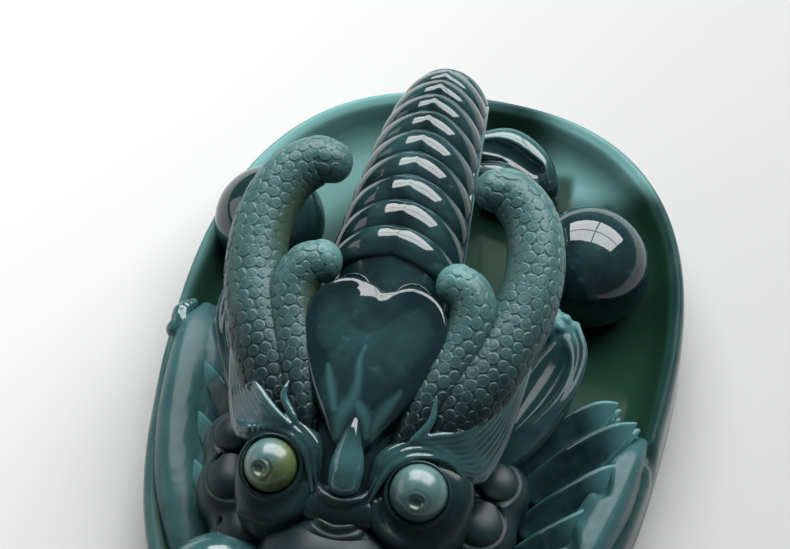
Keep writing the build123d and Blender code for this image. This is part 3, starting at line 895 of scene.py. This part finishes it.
LOCKS = {
    "right": [
        [(12.4, -8.8, 10.0, 1.4), (15.0, -5.8, 10.6, 1.9), (17.6, -2.6, 10.8, 1.3),
         (19.4, -0.8, 11.0, 0.15)],
        [(13.6, -10.6, 9.2, 1.4), (16.6, -7.8, 9.9, 1.9), (19.4, -4.2, 10.0, 1.3),
         (21.4, -2.0, 10.2, 0.15)],
        [(13.8, -14.0, 8.2, 1.3), (16.6, -11.6, 8.8, 1.7), (19.2, -8.2, 9.1, 1.1),
         (20.6, -6.4, 9.2, 0.3)],
        [(12.8, -18.2, 7.4, 1.3), (15.6, -15.8, 8.2, 1.6), (18.2, -12.6, 8.5, 1.0),
         (19.4, -10.8, 8.8, 0.3)],
    ],
    "left": [
        [(-13.4, -5.4, 10.4, 1.1), (-15.4, -3.6, 10.4, 1.2), (-17.4, -1.2, 9.8, 0.9),
         (-19.3, 1.6, 9.0, 0.3)],
        [(-13.2, -10.2, 10.2, 1.1), (-15.4, -8.4, 10.2, 1.2), (-17.4, -6.0, 9.8, 0.9),
         (-19.2, -3.4, 9.0, 0.3)],
        [(-12.8, -15.2, 9.9, 1.1), (-14.8, -13.6, 9.9, 1.2), (-16.8, -11.2, 9.6, 0.9),
         (-18.4, -8.8, 8.9, 0.3)],
        [(-12.2, -19.8, 9.5, 1.1), (-14.2, -18.4, 9.6, 1.2), (-16.0, -16.2, 9.4, 0.9),
         (-17.4, -14.0, 8.8, 0.3)],
    ],
}


def make_lock(node, path):
    """A flame lock: a broad leaf whose dished face leans towards the head's lower end."""
    rows = np.array(path)
    clay = Clay(rows[:, :3].min(0) - 2.9, rows[:, :3].max(0) + 2.9, 0.11)
    clay.strand(path, 0.1, 24)
    for step in (1, 2, 3):
        clay.strand([(x, y, z - step * 1.4, max(r * 0.85, 0.3)) for x, y, z, r in path], 0.3, 16)
    way = rows[-1, :2] - rows[0, :2]
    way /= np.linalg.norm(way)
    square = np.array((-way[1], way[0]))
    lean = -np.sign(square[1])
    flat = (rows[:, :2] - rows[0, :2]) @ np.stack([way, square], 1)

    def beside(x, y):
        """How far along the lock a place lies, how far to its side, and the radius there."""
        s, q = ((x - rows[0, 0]) * d[0] + (y - rows[0, 1]) * d[1] for d in (way, square))
        return s, q - np.interp(s, flat[:, 0], flat[:, 1]), np.interp(s, flat[:, 0], rows[:, 3])

    part, x, y, z = clay.whole()
    s, q, radius = beside(x, y)
    face = (z - np.interp(s, flat[:, 0], rows[:, 2])) * 0.75 + q * lean * 0.66
    hollow = 0.15 * radius * np.cos(np.clip(q / np.maximum(radius, 0.1), -1.5, 1.5))
    clay.cut(part, 0.32 * radius - hollow - face, 0.35)
    clay.keep_above()
    tip = rows[-1]

    # The lock is paler towards its tip, with a painted highlight along the upper part of its edges.
    def light(x, y, z):
        _, q, radius = beside(x, y)
        edge = smoothstep(0.62, 0.92, np.abs(q) / np.maximum(radius, 0.4))
        top = smoothstep(tip[2] - 2.2, tip[2] - 0.6, z)
        return 0.70 * smoothstep(5.0, 0.8, np.hypot(x - tip[0], y - tip[1])) + 0.6 * edge * top

    clay.finish(node, "flame", "jade_flame", None, {"light": light})


BANDS = {
    "right": [(22.0, -2.6, 7.6, 0.6), (21.2, -5.4, 7.9, 1.3), (20.4, -10.0, 7.9, 1.6),
              (19.2, -15.0, 7.5, 1.6), (17.4, -20.0, 7.0, 1.5), (15.2, -24.2, 6.6, 0.8)],
    "left": [(-20.8, 3.6, 7.6, 0.6), (-21.3, 0.6, 7.9, 1.3), (-20.7, -5.0, 8.0, 1.7),
             (-19.8, -11.0, 7.8, 1.75), (-18.2, -17.0, 7.4, 1.7), (-15.8, -23.8, 6.6, 0.8)],
}


def make_band(node, path):
    """The long ridge inside the rim. The left one runs inwards as a smooth sheet of stone."""
    rows = np.array(path)
    sign = RIGHT if rows[0, 0] > 0 else LEFT
    clay = Clay(rows[:, :3].min(0) - (5.9, 2.4, 5.8), rows[:, :3].max(0) + (7.9, 2.4, 2.9), 0.15)
    clay.strand(path, 0.1, 60)
    for drop, widen in ((1.5, 0.30), (3.0, 0.5), (4.4, 0.7)):
        clay.strand(rows + (0, 0, -drop, widen), 0.6, 24)
    spread = (1.3,) if sign == RIGHT else (1.5, 3.0, 4.5)
    for inwards in spread:
        sheet = rows - (sign * inwards, 0, 0.42 * inwards, 0)
        clay.strand(sheet, 1.6, 60)
        clay.strand(sheet + (0, 0, -2.2, 0.3), 0.8, 24)
    if sign == RIGHT:
        for share in (0.3, 0.6):
            x, y, z = (np.interp(share * (len(path) - 1), range(len(path)), rows[:, i])
                       for i in range(3))
            clay.ball((x - 1.9, y, z + 1.3), (0.8, 2.4, 0.9), (0, 0, 20), 0.9, cut=True)
    clay.keep_above()
    clay.finish(node, "ridge", "jade_flame", None,
                {"light": by_height(0.06, 0.30, 6.5, 9.6),
                 "dull": 0.14 if sign == RIGHT else 0.20})


def make_cloud_boss(side, node):
    """A dome with a line round it. The left one stands higher."""
    centre, radii = np.array((10.8, -27.0, 5.8)), np.array((4.3, 4.5, 3.6))
    if side == LEFT:
        centre, radii = np.array((9.2, -25.6, 7.6)), np.array((5.6, 4.9, 4.6))
    clay = Clay(centre - 6.4, centre + 6.4, 0.14)
    clay.ball(centre, radii, blend=0)
    clay.ring(centre + (0, 0, 0.8), radii[:2] * 0.93, 0.42, blend=0.3)
    clay.ring(centre + (0, 0.2, 2.6), radii[:2] * 0.6, 0.16, blend=0.2, cut=True)
    clay.keep_above()
    clay.finish(node, "dome", "jade_polished", side, {"light": 0.55, "dull": 0.06})


def make_ribbon():
    """The folded ribbon behind the crest: a fat roll with a hollow along its near side, so that
    both of its edges stand up."""
    clay = Clay((0.6, 18.4, 3.2), (13.6, 33.6, 12.4), 0.12)
    roll = np.array([(2.6, 28.8, 7.4, 1.6), (5.2, 29.0, 7.8, 1.9), (7.8, 27.6, 7.6, 1.8),
                     (9.4, 25.8, 6.8, 1.4)])
    clay.strand(roll, 0.1, 50)
    clay.strand(roll - (0, 0, 2.2, 0), 0.6, 20)
    clay.strand([(2.6, 25.8, 6.8, 1.2), (5.2, 25.6, 7.2, 1.4), (8.0, 24.4, 7.0, 1.2)], 0.2, 50)
    clay.strand([(1.8, 27.4, 9.2, 1.1), (4.8, 27.2, 9.4, 1.3), (8.2, 25.8, 9.0, 1.2)], 0.1, 50, True)
    clay.ball((5.0, 27.4, 5.2), (3.6, 3.6, 2.4), blend=0.5)
    clay.keep_above()
    # The ribbon's top is painted paler, as painted light on its upper facet.
    clay.finish("crest_ribbon", "fold", "jade_polished", 0,
                {"light": by_height(0, 0.35, 8.0, 9.4), "dull": 0.06})


def make_object():
    make_tray_floor()
    make_tray_rim()
    make_rim_scroll()
    make_crest_spine()
    for number in range(CREST_PLATES):
        make_crest_plate(number)
    for side, node in pair_names("horn"):
        make_horn(side, node, BEAM, 11 + side)
        make_horn(side, node + "_tine", TINE, 21 + side)
    make_heart()
    make_nose_ridge()
    make_snout_folds()
    make_skull()
    make_muzzle()
    make_mouth()
    make_beard()
    makers = {"brow": make_brow, "eyelid": make_eyelid, "eye": make_eye, "ear": make_ear,
              "cheek_curls": make_cheeks, "nostril": make_nostril, "whisker": make_whisker,
              "pearl": make_pearl, "cloud_boss": make_cloud_boss}
    for name, maker in makers.items():
        for side, node in pair_names(name):
            maker(side, node)
    for side, paths in LOCKS.items():
        for number, path in enumerate(paths):
            make_lock(f"{side}_mane_lock_{number + 1}", path)
    for side, path in BANDS.items():
        make_band(f"{side}_mane_band", path)
    make_ribbon()


# ---- floor, lights and camera ----------------------------------
def make_stage():
    bpy.ops.mesh.primitive_plane_add(size=6.0, location=(0, 0, 0))
    floor = bpy.context.object
    floor.name = "pale_floor"
    material, nodes, links, place = new_material("pale_floor")
    shader = nodes["Principled BSDF"]
    # The floor's colour is painted darker towards +X: a painted shade.
    split = nodes.new("ShaderNodeSeparateXYZ")
    links.new(place, split.inputs[0])
    across = nodes.new("ShaderNodeMapRange")
    across.interpolation_type = "SMOOTHSTEP"
    set_inputs(across, From_Min=-0.08, From_Max=0.05)
    links.new(split.outputs["X"], across.inputs["Value"])
    shade = nodes.new("ShaderNodeMix")
    shade.data_type = "RGBA"
    set_inputs(shade, A=(0.56, 0.565, 0.56, 1), B=(0.36, 0.365, 0.36, 1))
    links.new(across.outputs[0], shade.inputs["Factor"])
    links.new(shade.outputs["Result"], shader.inputs["Base Color"])
    set_inputs(shader, Roughness=0.6)
    floor.data.materials.append(material)


WINDOW_DISTANCE = 0.45
WINDOW_RADIANCE = 7.0
PANE, PANE_GAP = (0.36, 0.20), 0.014
FILL, FILL_RADIANCE = (0.5, 0.3), 1.2


def set_up(name, data, place, turn):
    """Stands a lamp or the camera at a place."""
    thing = bpy.data.objects.new(name, data)
    thing.location = place
    thing.rotation_mode = "QUATERNION"
    thing.rotation_quaternion = turn
    bpy.context.scene.collection.objects.link(thing)
    return thing


def add_panel(name, place, turn, width, length, radiance):
    """A soft light panel whose brightness, seen in a mirror, is radiance."""
    data = bpy.data.lights.new(name, "AREA")
    data.shape = "RECTANGLE"
    data.size, data.size_y = width, length
    data.energy = radiance * math.pi * width * length
    set_up(name, data, place, turn)


def make_lights():
    """One big window of four panes, behind the object and above it, and a weak fill."""
    target = Vector((0, 0, 0.015))
    middle = target + Vector((0.06, 0.60, 0.80)) * WINDOW_DISTANCE
    turn = (target - middle).to_track_quat("-Z", "Y")
    for i in (-1, 1):
        for j in (-1, 1):
            aside = turn @ Vector((i * (PANE[0] + PANE_GAP) / 2, j * (PANE[1] + PANE_GAP) / 2, 0))
            add_panel(f"window_{i}_{j}", middle + aside, turn, *PANE, WINDOW_RADIANCE)
    fill = Vector((-0.65, -0.05, 0.22))
    turn = (target - fill).to_track_quat("-Z", "Y")
    add_panel("left_fill", fill, turn, *FILL, FILL_RADIANCE)
    world = bpy.data.worlds.new("studio")
    bpy.context.scene.world = world
    world.use_nodes = True
    set_inputs(world.node_tree.nodes["Background"], Color=(0.9, 0.95, 1.0, 1), Strength=0.10)


def make_camera():
    data = bpy.data.cameras.new("camera")
    data.sensor_width = 36
    data.lens = 150.4
    place = Vector((37.8, -173.6, 256.5)) * MM
    target = Vector((-2.56, 3.77, 18.0)) * MM
    turn = (target - place).to_track_quat("-Z", "Y")
    bpy.context.scene.camera = set_up("camera", data, place, turn)


make_object()
make_stage()
make_lights()
make_camera()
bpy.context.scene.view_settings.view_transform = "Standard"
